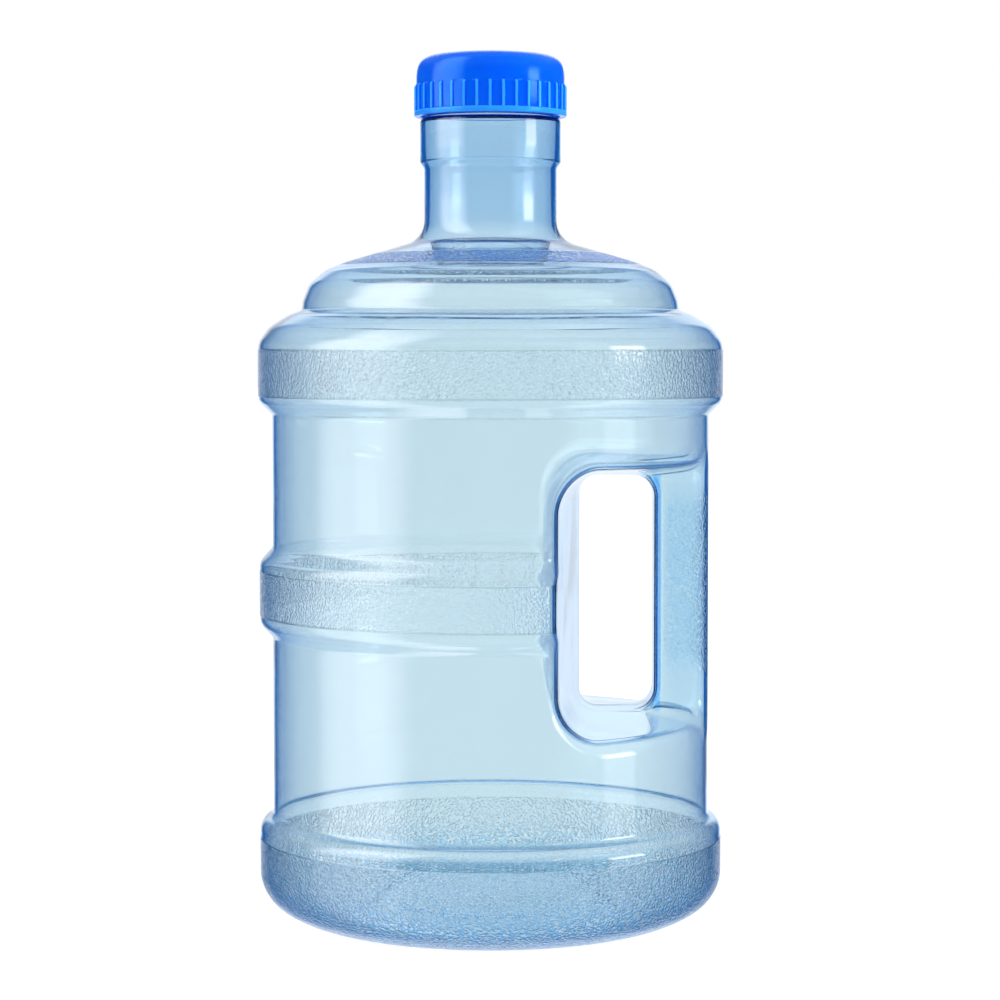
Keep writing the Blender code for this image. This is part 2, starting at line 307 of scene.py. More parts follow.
def outerHalf():
    return grip["windowHalf"] + grip["endDraft"] * jug["plainRadius"]


def edgeAngle(radius):
    # where the pocket's left wall meets an outer wall of this radius
    x = grip["windowLeft"] - grip["sideDraft"] * radius
    for _ in range(4):
        x = grip["windowLeft"] - grip["sideDraft"] * math.sqrt(radius**2 - x**2)
    return -math.acos(x / radius)


def rightAngle():
    return -math.asin(grip["faceDepth"] / jug["plainRadius"])


def onRectangle(place, left, right, low, high, leftCorner, rightCorner):
    # a point of a rounded rectangle, for one place in the ring
    side, f = place
    leftAcross, leftUp = leftCorner
    rightAcross, rightUp = rightCorner
    if side == "left":
        return left, low + leftUp + (high - low - 2 * leftUp) * f
    if side == "right":
        return right, high - rightUp - (high - low - 2 * rightUp) * f
    if side in ("top", "bottom"):
        start, end = left + leftAcross, right - rightAcross
        if side == "bottom":
            start, end = end, start
        return start + (end - start) * f, high if side == "top" else low
    turn = {"topLeft": 180, "topRight": 90, "bottomRight": 0, "bottomLeft": -90}[side] - 90 * f
    cosine, sine = math.cos(math.radians(turn)), math.sin(math.radians(turn))
    across, up = (leftAcross, leftUp) if side.endswith("Left") else (rightAcross, rightUp)
    centreAcross = left + across if side.endswith("Left") else right - across
    centreUp = high - up if side.startswith("top") else low + up
    return centreAcross + across * cosine, centreUp + up * sine


def wallRadius(rows, z):
    # radius of the vessel's wall at a height, read from its own outline
    for before, after in zip(rows, rows[1:]):
        if before.y <= z <= after.y and after.y > before.y:
            return before.x + (after.x - before.x) * (z - before.y) / (after.y - before.y)
    return jug["plainRadius"]


def onWall(angle, z, rows):
    # the end of the middle band is rounded off where it meets the pocket
    plain = jug["plainRadius"]
    vessel = angle < (edgeAngle(plain) + rightAngle()) / 2
    corner, half = grip["bandCorner"], grip["bandHalf"]
    past = plain * (math.cos(angle) - math.cos(edgeAngle(plain))) + corner
    past = min(max(past, 0), corner)
    share = (half - corner + math.sqrt(corner**2 - past**2)) / half
    radius = wallRadius(rows, grip["level"] + (z - grip["level"]) / share) if vessel else plain
    if vessel:
        near = min(max((-math.radians(60) - angle) / math.radians(8), 0), 1)
        angle += (edgeAngle(radius) - edgeAngle(jug["plainRadius"])) * near
    return Vector((radius * math.cos(angle), radius * math.sin(angle), z))


def pocketRings(rowHeights, columnAngles, bandRows):
    # the rings run from the outer wall in to the window
    g = grip
    plain = jug["plainRadius"]
    places = ringPlaces(rowHeights, columnAngles)
    low, high = g["level"] - outerHalf(), g["level"] + outerHalf()
    leftCorner = (g["outerCorner"] / plain, g["outerCorner"])
    rightCorner = (g["footCorner"] / plain, g["footCorner"])
    left, right = edgeAngle(plain), rightAngle()
    grow, rise = g["sideBlend"] / plain, g["endBlend"]
    growRight = g["rightBlend"] / plain
    outerLeft = (leftCorner[0] + grow, leftCorner[1] + rise)
    outerRight = (rightCorner[0] + growRight, rightCorner[1] + rise)
    hole = [(columnAngles[0], z) for z in rowHeights[:-1]]
    hole += [(a, rowHeights[-1]) for a in columnAngles[:-1]]
    hole += [(columnAngles[-1], z) for z in reversed(rowHeights[1:])]
    hole += [(a, rowHeights[0]) for a in reversed(columnAngles[1:])]

    wide, sharp = [], []
    for place in places:
        box = (left - grow, right + growRight, low - rise, high + rise)
        wide.append(onRectangle(place, *box, outerLeft, outerRight))
        sharp.append(onRectangle(place, left, right, low, high, leftCorner, rightCorner))
    half = g["windowHalf"]

    def flatRing(depth, rightEdge, cornerRight):
        corner = g["windowCorner"] + (g["innerCorner"] - g["windowCorner"]) * depth / g["faceDepth"]
        spread = half + g["endDraft"] * depth
        box = (g["windowLeft"] - g["sideDraft"] * depth, rightEdge)
        box += (g["level"] - spread, g["level"] + spread)
        corners = ((corner, corner), (cornerRight, cornerRight))
        flat = [onRectangle(place, *box, *corners) for place in places]
        return [Vector((x, -depth, z)) for x, z in flat]

    rings = []
    holeRing = [Vector((plainOrBand(a, z, bandRows))) for a, z in hole]
    rings.append(holeRing)
    between = []
    for (a, z), (b, y) in zip(hole, wide):
        between.append(onWall((a + b) / 2, (z + y) / 2, bandRows))
    rings.append(between)
    wideRing = [onWall(a, z, bandRows) for a, z in wide]
    sharpRing = [onWall(a, z, bandRows) for a, z in sharp]
    faceRing = flatRing(g["faceDepth"], g["windowRight"] + g["edge"], g["innerCorner"])
    innerRing = []
    for start, corner, target in zip(wideRing, sharpRing, faceRing):
        innerRing.append(corner + (target - corner).normalized() * (start - corner).length)
    steps = 7
    for step in range(steps + 1):
        t = step / steps
        ring = []
        for start, corner, end in zip(wideRing, sharpRing, innerRing):
            ring.append(start * (1 - t) ** 2 + corner * 2 * t * (1 - t) + end * t * t)
        rings.append(ring)
    steps = 11
    for step in range(1, steps + 1):
        rings.append([a.lerp(b, step / steps) for a, b in zip(innerRing, faceRing)])
    steps = 5
    for step in range(1, steps + 1):
        turn = math.radians(90 - 90 * step / steps)
        depth = g["faceDepth"] - g["edge"] * (1 - math.sin(turn))
        rightEdge = g["windowRight"] + g["edge"] * (1 - math.cos(turn))
        share = depth / g["faceDepth"]
        corner = g["windowCorner"] + (g["innerCorner"] - g["windowCorner"]) * share
        rings.append(flatRing(depth, rightEdge, corner))
    for depth in (0.006, 0.003, 0.0):
        share = depth / g["faceDepth"]
        corner = g["windowCorner"] + (g["innerCorner"] - g["windowCorner"]) * share
        rings.append(flatRing(depth, g["windowRight"], corner))
    return rings


def plainOrBand(angle, z, bandRows):
    vessel = angle < math.radians(-40)
    radius = wallRadius(bandRows, z) if vessel else jug["plainRadius"]
    return radius * math.cos(angle), radius * math.sin(angle), z


def ringSkin(name, rings):
    # a circle is laid on the first ring, and its edge is extruded from ring to ring
    bpy.ops.object.select_all(action="DESELECT")
    bpy.ops.mesh.primitive_circle_add(vertices=len(rings[0]), radius=0.05)
    obj = bpy.context.object
    obj.name = name
    bpy.ops.object.mode_set(mode="EDIT")
    bm = bmesh.from_edit_mesh(obj.data)
    bm.verts.ensure_lookup_table()
    order = [bm.verts[0]]
    while len(order) < len(rings[0]):
        nearby = [edge.other_vert(order[-1]) for edge in order[-1].link_edges]
        order.append(next(v for v in nearby if v not in order[-2:]))
    current = [vert.index for vert in order]
    for vert, place in zip(order, rings[0]):
        vert.co = place
    bmesh.update_edit_mesh(obj.data)
    for ring in rings[1:]:
        bpy.ops.mesh.extrude_region_move()
        bm = bmesh.from_edit_mesh(obj.data)
        bm.verts.ensure_lookup_table()
        following = []
        for index, place in zip(current, ring):
            new = [e.other_vert(bm.verts[index]) for e in bm.verts[index].link_edges]
            new = next(v for v in new if v.select)
            new.co = place
            following.append(new.index)
        current = following
        bmesh.update_edit_mesh(obj.data)
    bpy.ops.object.mode_set(mode="OBJECT")
    return obj


def makeJug():
    j, g = jug, grip
    outline = jugOutline()
    skin = turnProfile("clear_jug", outline, j["segments"])
    reach = g["holeHalf"] + 1e-6
    bandRows = [p for p in outline if abs(p.y - g["level"]) <= reach and p.x > 0.09]
    rowHeights = [p.y for p in bandRows]
    step = 360 / j["segments"]
    first, last = g["holeLeftDegrees"], g["holeRightDegrees"]
    count = round((last - first) / step)
    columnAngles = [math.radians(first + step * k) for k in range(count + 1)]
    print("jug outline", len(outline), "rows, hole", len(rowHeights), "by", len(columnAngles))

    # the column of the grip keeps the plain radius where the middle band stops
    for vert in skin.data.vertices:
        radius, angle = polar(vert.co)
        if abs(angle) < math.radians(-last) + 0.001 and rowHeights[0] < vert.co.z < rowHeights[-1]:
            shrink = j["plainRadius"] / radius
            vert.co.x *= shrink
            vert.co.y *= shrink
    # the two holes, in front and behind
    only(skin)
    bpy.ops.object.mode_set(mode="EDIT")
    bpy.ops.mesh.select_mode(type="FACE")
    bpy.ops.mesh.select_all(action="DESELECT")
    bm = bmesh.from_edit_mesh(skin.data)
    for face in bm.faces:
        centre = face.calc_center_median()
        radius, angle = polar(centre)
        inHeight = rowHeights[0] < centre.z < rowHeights[-1]
        inTurn = math.radians(-last) < abs(angle) < math.radians(-first)
        face.select = inHeight and inTurn and radius > 0.085
    bmesh.update_edit_mesh(skin.data)
    bpy.ops.mesh.delete(type="FACE")
    bpy.ops.mesh.select_mode(type="VERT")
    bpy.ops.object.mode_set(mode="OBJECT")

    rings = pocketRings(rowHeights, columnAngles, bandRows)
    front = ringSkin("pocket_front", rings)
    back = ringSkin("pocket_back", [[Vector((p.x, -p.y, p.z)) for p in ring] for ring in rings])
    only(skin)
    front.select_set(True)
    back.select_set(True)
    bpy.ops.object.join()
    skin = bpy.context.object
    bpy.ops.object.mode_set(mode="EDIT")
    bpy.ops.mesh.select_all(action="SELECT")
    bpy.ops.mesh.remove_doubles(threshold=0.00002)
    bpy.ops.mesh.normals_make_consistent(inside=False)
    bpy.ops.object.mode_set(mode="OBJECT")

    # the wall is thicker in the neck and a little less so at the mouth
    group = skin.vertex_groups.new(name="wall")
    thin, mouth = j["wall"] / j["neckWall"], j["mouthWall"] / j["neckWall"]
    for vert in skin.data.vertices:
        share = min(max((vert.co.z - j["neckFrom"]) / j["neckRun"], 0), 1)
        neck = 1 - (1 - mouth) * min(max((vert.co.z - j["mouthFrom"]) / j["mouthRun"], 0), 1)
        group.add([vert.index], thin + (neck - thin) * share, "REPLACE")
    outerCount = len(skin.data.vertices)
    applyModifier(
        skin, "SOLIDIFY", thickness=j["neckWall"], offset=-1, vertex_group="wall", use_even_offset=True
    )
    outside = skin.data.attributes.new("outerSkin", "FLOAT", "POINT")
    values = [1.0 if index < outerCount else 0.0 for index in range(len(skin.data.vertices))]
    outside.data.foreach_set("value", values)
    collarTop = finishThread["collarTop"]
    for vert in skin.data.vertices[:outerCount]:
        radius, angle = polar(vert.co)
        if vert.co.z > collarTop and radius > 0.0270:
            start = collarTop + finishThread["startAboveCollar"]
            out = ridgeHeight(finishThread, angle, vert.co.z, start, finishThread["turns"])
            vert.co.x *= 1 + out / radius
            vert.co.y *= 1 + out / radius
    smoothShade(skin, 50)
    openEdges = countOpen(skin)
    print("jug faces", len(skin.data.polygons), "open edges", openEdges)
    return skin


def countOpen(obj):
    bm = bmesh.new()
    bm.from_mesh(obj.data)
    found = sum(1 for edge in bm.edges if len(edge.link_faces) != 2)
    bm.free()
    return found


# the cap, in metres; its dome is a radius and how far that lies below the top
capSize = {
    "ribs": 36,
    "ribWidth": 0.0011,
    "ribProud": 0.00085,
    "ribTop": 0.0133,
    "footProud": 0.0009,
    "footHeight": 0.0023,
    "threadGap": 0.00035,
    "wall": 0.00205,
    "top": 0.0025,
    "plugRadius": 0.0246,
    "plugWall": 0.0014,
    "plugDepth": 0.0055,
    "threadTurns": 1.5,
    "dome": [
        (0.0, 0.0001), (0.0080, 0.00014), (0.0130, 0.00024), (0.0180, 0.00042), (0.0215, 0.00065),
        (0.0240, 0.00095), (0.0258, 0.00135), (0.0272, 0.00188), (0.0284, 0.00265), (0.0293, 0.00355),
        (0.0299, 0.0045), (0.0304, 0.0057), (0.0307, 0.0070), (0.0309, 0.0085),
    ],
}


def capBore():
    return finishThread["rootRadius"] + finishThread["height"] + capSize["threadGap"]


def makeCap():
    c = capSize
    low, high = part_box("screw_cap")
    bottom, top = low.z, high.z
    bore = capBore()
    outer = bore + c["wall"]
    foot = outer + c["footProud"]
    ceiling = top - c["top"]
    plug = c["plugRadius"]
    corners = [
        (outer, top - 0.0105, 0),
        (outer, bottom + c["footHeight"] + 0.0002, 0.0003),
        (foot, bottom + c["footHeight"], 0.0003),
        (foot, bottom, 0.0007),
        (bore + 0.0004, bottom, 0.0004),
        (bore, bottom + 0.0012, 0.0006),
        (bore, ceiling - 0.0026, 0.0006),
        (bore - 0.0024, ceiling, 0.0006),
        (plug, ceiling, 0.0003),
        (plug, ceiling - c["plugDepth"], 0.0004),
        (plug - c["plugWall"], ceiling - c["plugDepth"], 0.0004),
        (plug - c["plugWall"], ceiling, 0.0008),
        (0, ceiling, 0),
    ]
    points = [Vector((r, top - drop)) for r, drop in c["dome"]] + arcPoints(corners, 0.00002)
    ribTop = bottom + c["ribTop"]
    rows = []
    for before, after in zip(points, points[1:]):
        rows.append(before)
        ribRun = before.x > bore + 0.001 and after.x > bore + 0.001 and before.y > ribTop > after.y
        if ribRun:
            for drop in (-0.0004, 0.0, 0.0003, 0.0006, 0.0010, 0.0016):
                rows.append(before.lerp(after, (before.y - ribTop + drop) / (before.y - after.y)))
        threadRun = abs(before.x - bore) < 1e-5 and abs(after.x - bore) < 1e-5
        if threadRun:
            count = 40
            rows += [before.lerp(after, s / count) for s in range(1, count)]
    rows.append(points[-1])
    perRib = 8
    segments = c["ribs"] * perRib
    cap = turnProfile("blue_cap", rows, segments)
    # columns are drawn together at each rib, and the ribs are then raised
    pitch = math.tau / c["ribs"]
    half = c["ribWidth"] / 2 / outer
    inRib = [0.0, half * 0.72, half * 1.0, half * 1.45]
    offsets = inRib + [pitch / 2] + [pitch - x for x in reversed(inRib[1:])]
    height = {0: 1.0, 1: 1.0, 2: 0.45, 3: 0.0, 4: 0.0, 5: 0.0, 6: 0.45, 7: 1.0}
    ribFoot = bottom + c["footHeight"]
    for vert in cap.data.vertices:
        radius, angle = polar(vert.co)
        if radius < bore + 0.0012:
            continue
        slot = round(angle / (pitch / perRib))
        rib, place = divmod(slot, perRib)
        turn = rib * pitch + offsets[place]
        if vert.co.z < ribTop + 0.0005:
            rounding = math.sqrt(max(0.0, 1 - max(0.0, 1 - (ribTop - vert.co.z) / 0.0012) ** 2))
            proud = c["ribProud"] * height[place] * (rounding if vert.co.z < ribTop else 0)
            radius = max(radius, outer + proud) if vert.co.z > ribFoot + 0.0001 else radius
        vert.co.x = radius * math.cos(turn)
        vert.co.y = radius * math.sin(turn)
    inner = dict(finishThread)
    inner["height"] = bore - finishThread["rootRadius"] - 0.0003
    start = finishThread["collarTop"] + finishThread["startAboveCollar"]
    start -= (finishThread["base"] + finishThread["crest"]) / 2 + 0.0003
    for vert in cap.data.vertices:
        radius, angle = polar(vert.co)
        if abs(radius - bore) < 0.0001 and vert.co.z < ceiling - 0.001:
            out = ridgeHeight(inner, angle, vert.co.z, start, c["threadTurns"])
            vert.co.x *= 1 - out / radius
            vert.co.y *= 1 - out / radius
    smoothShade(cap, 42)
    print("cap faces", len(cap.data.polygons), "open edges", countOpen(cap))
    return cap


sealSize = {
    "inner": 0.0249,
    "edgeGap": 0.0008,
    "topGap": 0.0001,
    "bead": 0.0004,
}


def makeSeal():
    low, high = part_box("cap_seal")
    outer = high.x - sealSize["edgeGap"]
    inner, bead = sealSize["inner"], sealSize["bead"]
    half = (high.z - low.z) / 2 - sealSize["topGap"]
    middle = low.z + half
    corners = [
        (inner, middle - half, bead),
        (outer, middle - half, bead),
        (outer, middle + half, bead),
        (inner, middle + half, bead),
    ]
    points = arcPoints(corners, 0.00001, closed=True)
    seal = turnProfile("mouth_seal", points, 128, closed=True)
    smoothShade(seal, 40)
    print("seal faces", len(seal.data.polygons), "open edges", countOpen(seal))
    return seal


class Wire:
    # wraps a socket, so that shader maths is written as Python
    def __init__(self, tree, socket):
        self.tree, self.socket = tree, socket

    def node(self, kind, settings=None, values=None, out=0):
        made = self.tree.nodes.new(kind)
        for name, value in (settings or {}).items():
            setattr(made, name, value)
        for name, value in (values or {}).items():
            if isinstance(value, Wire):
                self.tree.links.new(value.socket, made.inputs[name])
            else:
                made.inputs[name].default_value = value
        return made if out is None else Wire(self.tree, made.outputs[out])

    def maths(self, operation, *others):
        values = dict(enumerate((self, *others)))
        return self.node("ShaderNodeMath", {"operation": operation}, values)

    def flipped(self, operation, other):
        return self.node("ShaderNodeMath", {"operation": operation}, {0: other, 1: self})

    def __add__(self, other):
        return self.maths("ADD", other)

    def __sub__(self, other):
        return self.maths("SUBTRACT", other)

    def __mul__(self, other):
        return self.maths("MULTIPLY", other)

    def __truediv__(self, other):
        return self.maths("DIVIDE", other)

    def __pow__(self, other):
        return self.maths("POWER", other)

    def __rsub__(self, other):
        return self.flipped("SUBTRACT", other)

    def __rtruediv__(self, other):
        return self.flipped("DIVIDE", other)

    __radd__ = __add__
    __rmul__ = __mul__

    def size(self):
        return self.maths("ABSOLUTE")

    def smaller(self, other):
        return self.maths("MINIMUM", other)

    def ramp(self, low, high, start=0.0, end=1.0):
        values = {"Value": self, "From Min": low, "From Max": high, "To Min": start, "To Max": end}
        return self.node("ShaderNodeMapRange", {"interpolation_type": "SMOOTHSTEP"}, values)

    def within(self, low, high, soft):
        return self.ramp(low - soft, low + soft) * (1.0 - self.ramp(high - soft, high + soft))

    def split(self):
        first = self.node("ShaderNodeSeparateXYZ", {}, {0: self})
        return [Wire(self.tree, socket) for socket in first.socket.node.outputs]

    def into(self, socket):
        self.tree.links.new(self.socket, socket)

    def blendColours(self, first, second):
        values = {0: self, 6: first, 7: second}
        return self.node("ShaderNodeMix", {"data_type": "RGBA"}, values, 2)


def newMaterial(name):
    material = bpy.data.materials.new(name)
    material.use_nodes = True
    tree = material.node_tree
    shader = tree.nodes["Principled BSDF"]
    here = Wire(tree, None).node("ShaderNodeTexCoord", out="Object")
    return material, shader, here, *here.split()


def noise(here, scale, detail=2.0, roughness=0.5, distortion=0.0):
    values = {"Vector": here, "Scale": scale, "Detail": detail}
    values.update({"Roughness": roughness, "Distortion": distortion})
    return here.node("ShaderNodeTexNoise", {}, values, 0)


def bump(height, distance, strength=1.0, normal=None):
    values = {"Height": height, "Distance": distance, "Strength": strength}
    if normal is not None:
        values["Normal"] = normal
    return height.node("ShaderNodeBump", {}, values)


def feed(shader, name, wire):
    wire.into(shader.inputs[name])


clearLook = {
    "tint": (0.860, 0.914, 0.878, 1),
    "deepTint": (0.845, 0.902, 0.868, 1),
    "neckTint": (0.725, 0.835, 0.862, 1),
    "gripTint": (0.770, 0.870, 0.872, 1),
    "absorbColour": (0.043, 0.496, 0.922, 1),
    "absorbDensity": 115.0,
    # painted shade colour for the grain's hollows and the grip's edge
    "paintedShadeTint": (0.24, 0.64, 0.96, 1),
    # painted shade colour for the cone's grain and the root of the neck
    "paintedShadeBlue": (0.004, 0.150, 0.62, 1),
    "paintedShadeRoughness": 0.35,
    "wormScale": 980.0,
    "wormDepth": 0.00027,
    "waveDepth": 0.0008,
}


def clearBlue():
    look = clearLook
    material, shader, here, x, y, z = newMaterial("clear_blue_polycarbonate")
    tree = material.node_tree
    output = tree.nodes["Material Output"]
    radius = (x * x + y * y) ** 0.5
    outer = here.node("ShaderNodeAttribute", {"attribute_name": "outerSkin"}, {}, 2)
    far = radius.ramp(0.0935, 0.0945)
    lowMiddle, highMiddle = jug["middleEmboss"]
    lowTop, highTop = jug["topEmboss"]
    lowCone, highCone = jug["coneEmboss"]
    lowGrip, highGrip = jug["gripEmboss"]
    base = z.within(0.0, jug["baseEmbossTop"], 0.0002) * radius.ramp(0.060, 0.070)
    middle = z.within(lowMiddle, highMiddle, 0.0002) * (1.0 - x.ramp(0.0218, 0.0236))
    bands = (middle + z.within(lowTop, highTop, 0.0002)) * far
    cone = radius.within(lowCone, highCone, 0.0006) * z.ramp(0.2700, 0.2720)
    hold = z.within(lowGrip, highGrip, 0.006) * x.ramp(0.0712, 0.0750)
    hold = hold * (1.0 - y.size().ramp(0.018, 0.020))
    foot = base * z.ramp(0.006, 0.032, 1.0, 0.7)
    embossed = (foot + bands * 0.75 + cone * 1.6 + hold * 0.6).smaller(1.6) * outer
    worms = noise(here, look["wormScale"], 1.0, 0.4, 0.35).ramp(0.38, 0.62)
    waves = noise(here, 22.0, 1.0, 0.5, 0.0)
    gently = bump(waves, look["waveDepth"], 0.35)
    relief = bump(worms * embossed, look["wormDepth"], 1.0, gently)
    feed(shader, "Normal", relief)
    clouds = noise(here, 9.0, 2.0, 0.5)
    plain = clouds.ramp(0.3, 0.7).blendColours(look["tint"], look["deepTint"])
    plain = z.ramp(0.282, 0.296).blendColours(plain, look["neckTint"])
    column = x.ramp(0.0690, 0.0780) * z.within(0.086, 0.191, 0.008)
    plain = column.blendColours(plain, look["gripTint"])
    # painted shade: a deep blue line is painted along the edge of the grip beside the window, where
    # the plastic looks darker
    paintedEdgeShade = x.within(0.0676, 0.0708, 0.0007) * z.within(0.0890, 0.1880, 0.002)
    paintedEdgeShade = paintedEdgeShade * (1.0 - y.size().ramp(0.0152, 0.0165)) * 0.7
    plain = paintedEdgeShade.blendColours(plain, look["paintedShadeTint"])
    # painted shade: the hollows of the grain are painted a deeper blue, most low on the foot and faint
    # on the bands, and a strip of painted shade runs round the bottom of the foot
    low = base * z.ramp(0.006, 0.030, 1.0, 0.14)
    strength = (low * 1.15 + bands * 0.10 + cone + hold * 0.45) * outer
    paintedBottomShade = (1.0 - z.ramp(0.0075, 0.0095)) * 0.22
    paintedPitShade = strength * (1.0 - worms) + paintedBottomShade
    feed(shader, "Base Color", paintedPitShade.smaller(1.0).blendColours(plain, look["paintedShadeTint"]))
    scuffs = noise(here, 140.0, 3.0, 0.6)
    feed(shader, "Roughness", scuffs.ramp(0.45, 0.75, 0.015, 0.05) + embossed * 0.03)
    shader.inputs["Transmission Weight"].default_value = 1.0
    shader.inputs["IOR"].default_value = 1.58
    shader.inputs["Metallic"].default_value = 0.0
    values = {"Color": look["absorbColour"], "Density": look["absorbDensity"]}
    here.node("ShaderNodeVolumeAbsorption", {}, values).into(output.inputs["Volume"])
    # painted shade: an opaque dark blue shader is mixed into the grain's hollows on the cone and onto
    # the inner skin at the root of the neck, where the plastic looks dark
    values = {"Base Color": look["paintedShadeBlue"], "Roughness": look["paintedShadeRoughness"], "Normal": relief}
    paintedShadeShader = here.node("ShaderNodeBsdfPrincipled", {}, values)
    root = z.within(0.2790, 0.2836, 0.0004) * radius.within(0.0225, 0.0345, 0.0010)
    share = cone * outer * (1.0 - worms) * 0.7 + root * (1.0 - outer) * 0.9
    clear = Wire(tree, shader.outputs[0])
    both = here.node("ShaderNodeMixShader", {}, {0: share, 1: clear, 2: paintedShadeShader})
    both.into(output.inputs["Surface"])
    return material


capLook = {
    "blue": (0.0, 0.098, 0.78, 1),
    "deepBlue": (0.0, 0.083, 0.72, 1),
    # painted highlight colour for the rib crests
    "ribHighlightBlue": (0.02, 0.25, 0.92, 1),
    # painted glow colour for the inside of the cap
    "glow": (0.0, 0.10, 0.50, 1),
    "paintedGlowStrength": 0.35,
}


def capBlue():
    material, shader, here, x, y, z = newMaterial("cap_blue_plastic")
    clouds = noise(here, 60.0, 2.0, 0.5)
    plain = clouds.ramp(0.3, 0.7).blendColours(capLook["blue"], capLook["deepBlue"])
    radius = (x * x + y * y) ** 0.5
    bore = capBore()
    outer = bore + capSize["wall"]
    # painted highlight: the crests of the ribs are painted a lighter blue, for the bright line that
    # light leaves along each rib
    crest = radius.ramp(outer + capSize["ribProud"] * 0.35, outer + capSize["ribProud"] * 0.8)
    crest = crest * (1.0 - z.ramp(0.352, 0.3535))
    feed(shader, "Base Color", crest.blendColours(plain, capLook["ribHighlightBlue"]))
    # painted glow: the inside of the cap emits a faint blue light, in place of the light that comes
    # through the thin plastic
    inside = 1.0 - radius.ramp(bore + 0.0002, bore + 0.0006)
    inside = inside * (1.0 - z.ramp(0.3590, 0.3600))
    feed(shader, "Emission Color", inside.blendColours((0, 0, 0, 1), capLook["glow"]))
    shader.inputs["Emission Strength"].default_value = capLook["paintedGlowStrength"]
    grain = noise(here, 2600.0, 2.0, 0.6)
    swirl = noise(here, 120.0, 2.0, 0.5)
    relief = bump(grain, 0.00001, 0.5, bump(swirl, 0.0001, 0.25))
    feed(shader, "Normal", relief)
    scuffs = noise(here, 300.0, 4.0, 0.6)
    feed(shader, "Roughness", scuffs.ramp(0.35, 0.8, 0.13, 0.24))
    shader.inputs["IOR"].default_value = 1.58
    shader.inputs["Specular Tint"].default_value = (0.22, 0.85, 1.0, 1)
    shader.inputs["Subsurface Weight"].default_value = 0.8
    shader.inputs["Subsurface Radius"].default_value = (0.3, 0.6, 1.0)
    shader.inputs["Subsurface Scale"].default_value = 0.006
    return material


sealLook = {
    "white": (0.80, 0.81, 0.80, 1),
    "grey": (0.72, 0.74, 0.74, 1),
}


def sealRubber():
    material, shader, here, x, y, z = newMaterial("seal_silicone")
    clouds = noise(here, 200.0, 3.0, 0.5)
    plain = clouds.ramp(0.3, 0.7).blendColours(sealLook["white"], sealLook["grey"])
    feed(shader, "Base Color", plain)
    feed(shader, "Normal", bump(noise(here, 1800.0, 2.0, 0.5), 0.00003, 0.5))
    feed(shader, "Roughness", clouds.ramp(0.2, 0.8, 0.5, 0.65))
    return material


camera = {
    "place": (0.0040, -1.2090, 0.2415),
    "tiltDegrees": 3.083,
    "lens": 103.6,
}


def makeCamera():
    data = bpy.data.cameras.new("view")
    data.lens = camera["lens"]
    data.sensor_width = 36
    data.clip_start = 0.01
    data.clip_end = 100
    obj = bpy.data.objects.new("view", data)
    bpy.context.scene.collection.objects.link(obj)
    obj.location = camera["place"]
    obj.rotation_euler = (math.radians(90 - camera["tiltDegrees"]), 0, 0)
    bpy.context.scene.camera = obj


studio = {
    "floorSize": 30.0,
    "backdrop": 1.19,
    "dimColour": (0.02, 0.15, 0.46, 1),
    "boxColour": (1.0, 0.88, 0.84, 1),
    "skyColour": (0.80, 0.90, 1.0, 1),
    "groundColour": (0.55, 0.76, 1.0, 1),
    "behindColour": (1.0, 0.97, 0.80, 1),
    "sky": 0.42,
    "ground": 0.24,
    "leftBox": {"degrees": -72, "core": 10, "reach": 34, "low": 1.7, "high": 3.2, "top": 0.75},
    "rightBox": {"degrees": 71, "core": 7, "reach": 12, "low": 0.9, "high": 6.0, "top": 0.12},
    "behindBox": {"degrees": 180, "core": 14, "reach": 22, "low": 0.92, "high": 0.92, "top": 0.5},
    "floorGlow": 0.97,
    "floorColour": (0.20, 0.20, 0.20, 1),
    "lampSize": 1.2,
    "keyWatts": 6.0,
    "keyPlace": (-1.3, -1.1, 1.5),
    "sideWatts": 30.0,
    "sidePlace": (1.7, -0.3, 0.9),
}


def softBox(ahead, elevation, box):
    # one soft box of the studio, by its direction and how far its light reaches
    turn = math.radians(box["degrees"])
    x, y = ahead
    facing = x * math.sin(turn) - y * math.cos(turn)
    narrow, wide = (math.cos(math.radians(box[k])) for k in ("core", "reach"))
    level = elevation.ramp(0.01, 0.06, box["low"], box["high"])
    return facing.ramp(wide, narrow) * level * (1.0 - elevation.ramp(box["top"], box["top"] + 0.25))


def reflectedOnly(start):
    # 1 for what is seen in a reflection, 0 for what is seen directly or through the jug
    depth = start.node("ShaderNodeLightPath", out="Glossy Depth")
    return depth.maths("GREATER_THAN", 0.5)


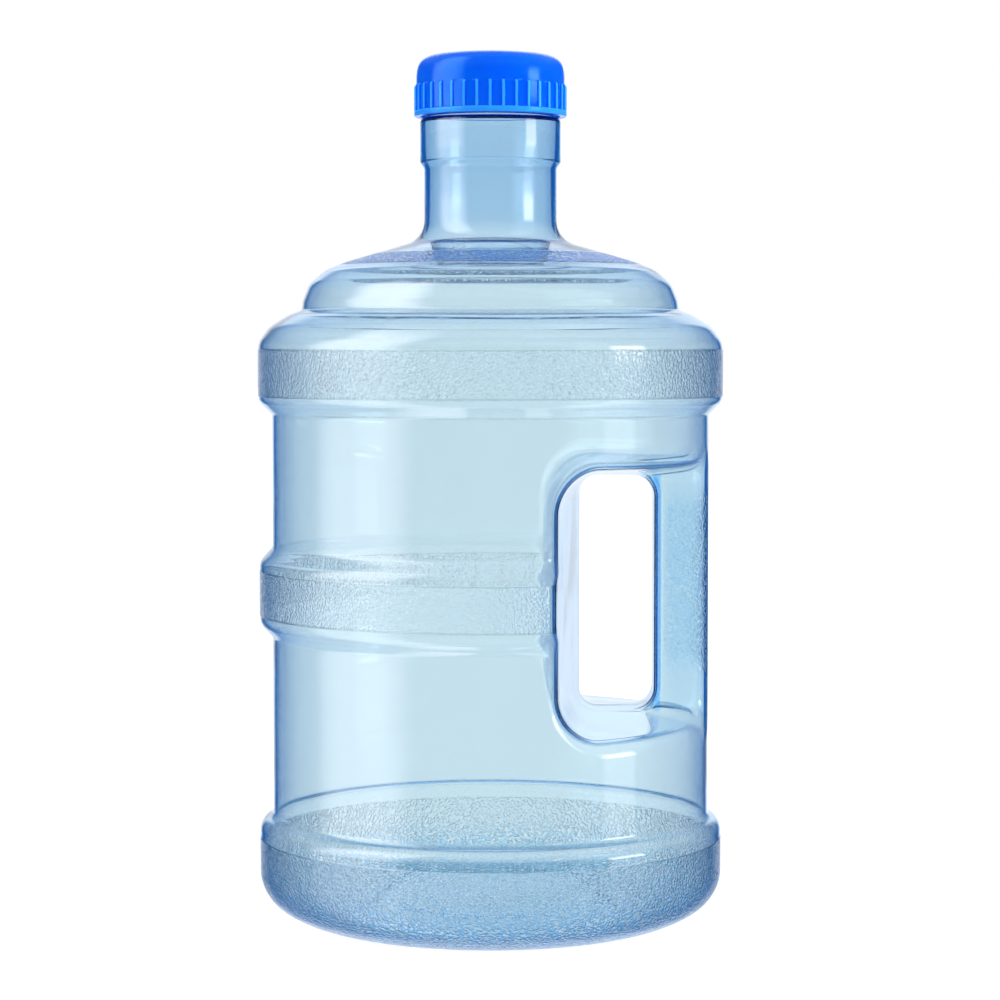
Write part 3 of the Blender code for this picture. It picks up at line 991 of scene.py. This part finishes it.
def makeStudio():
    scene = bpy.context.scene
    scene.view_settings.view_transform = "Standard"
    world = bpy.data.worlds.new("studio")
    scene.world = world
    world.use_nodes = True
    tree = world.node_tree
    tree.nodes.clear()
    start = Wire(tree, None)
    output = start.node("ShaderNodeOutputWorld", out=None)
    reflected = reflectedOnly(start)
    seen = start.node("ShaderNodeLightPath", out="Is Camera Ray")
    x, y, z = start.node("ShaderNodeTexCoord", out="Generated").split()
    flat = (x * x + y * y + 0.0001) ** 0.5
    ahead = (x / flat, y / flat)
    boxes = softBox(ahead, z, studio["leftBox"]) + softBox(ahead, z, studio["rightBox"])
    strength = seen * (1.0 - studio["backdrop"]) + studio["backdrop"]
    values = {"Color": (1, 1, 1, 1), "Strength": strength}
    plain = start.node("ShaderNodeBackground", {}, values)
    room = start.node("ShaderNodeBackground", {}, {"Color": studio["dimColour"]})
    ground = (0.0 - z).ramp(0.18, 0.50) * studio["ground"]
    behind = softBox(ahead, z, studio["behindBox"])
    glows = [("boxColour", boxes), ("skyColour", z.ramp(0.22, 0.60) * studio["sky"])]
    glows += [("groundColour", ground), ("behindColour", behind)]
    for colour, strength in glows:
        values = {"Color": studio[colour], "Strength": strength}
        glow = start.node("ShaderNodeBackground", {}, values)
        room = start.node("ShaderNodeAddShader", {}, {0: room, 1: glow})
    both = start.node("ShaderNodeMixShader", {}, {0: reflected, 1: plain, 2: room})
    both.into(output.inputs["Surface"])
    makeLamp("key", studio["keyWatts"], studio["keyPlace"])
    makeLamp("side", studio["sideWatts"], studio["sidePlace"])
    makeFloor()


def makeLamp(name, watts, place):
    data = bpy.data.lights.new(name, "AREA")
    data.shape = "RECTANGLE"
    data.size, data.size_y = studio["lampSize"], studio["lampSize"]
    data.energy = watts
    lamp = bpy.data.objects.new(name, data)
    bpy.context.scene.collection.objects.link(lamp)
    lamp.location = place
    aim = Vector((0, 0, 0.25)) - lamp.location
    lamp.rotation_euler = aim.to_track_quat("-Z", "Y").to_euler()
    lamp.visible_glossy = False
    lamp.visible_transmission = False


def makeFloor():
    bpy.ops.object.select_all(action="DESELECT")
    bpy.ops.mesh.primitive_plane_add(size=studio["floorSize"], location=(0, 0, -0.0002))
    floor = bpy.context.object
    floor.name = "floor"
    material = bpy.data.materials.new("floor_white")
    material.use_nodes = True
    tree = material.node_tree
    shader = tree.nodes["Principled BSDF"]
    shader.inputs["Base Color"].default_value = studio["floorColour"]
    shader.inputs["Emission Color"].default_value = (1, 1, 1, 1)
    shader.inputs["Emission Strength"].default_value = studio["floorGlow"]
    shader.inputs["Roughness"].default_value = 0.9
    shader.inputs["Specular IOR Level"].default_value = 0.1
    # reflections look past the floor, into the room
    reflected = reflectedOnly(Wire(tree, None))
    clear = reflected.node("ShaderNodeBsdfTransparent")
    white = Wire(tree, shader.outputs[0])
    both = reflected.node("ShaderNodeMixShader", {}, {0: reflected, 1: white, 2: clear})
    both.into(tree.nodes["Material Output"].inputs["Surface"])
    floor.data.materials.append(material)


def dress(obj, material, body, slot, *nodes):
    obj.data.materials.clear()
    obj.data.materials.append(material)
    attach(obj, body)
    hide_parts(*nodes)


makeCamera()
makeStudio()
print("studio ready")
dress(makeJug(), clearBlue(), "bottle", "clear_blue", "bottle")
print("jug ready")
dress(makeCap(), capBlue(), "cap", "cap_blue", "screw_cap")
dress(makeSeal(), sealRubber(), "seal", "seal_white", "cap_seal")
print("cap and seal ready")
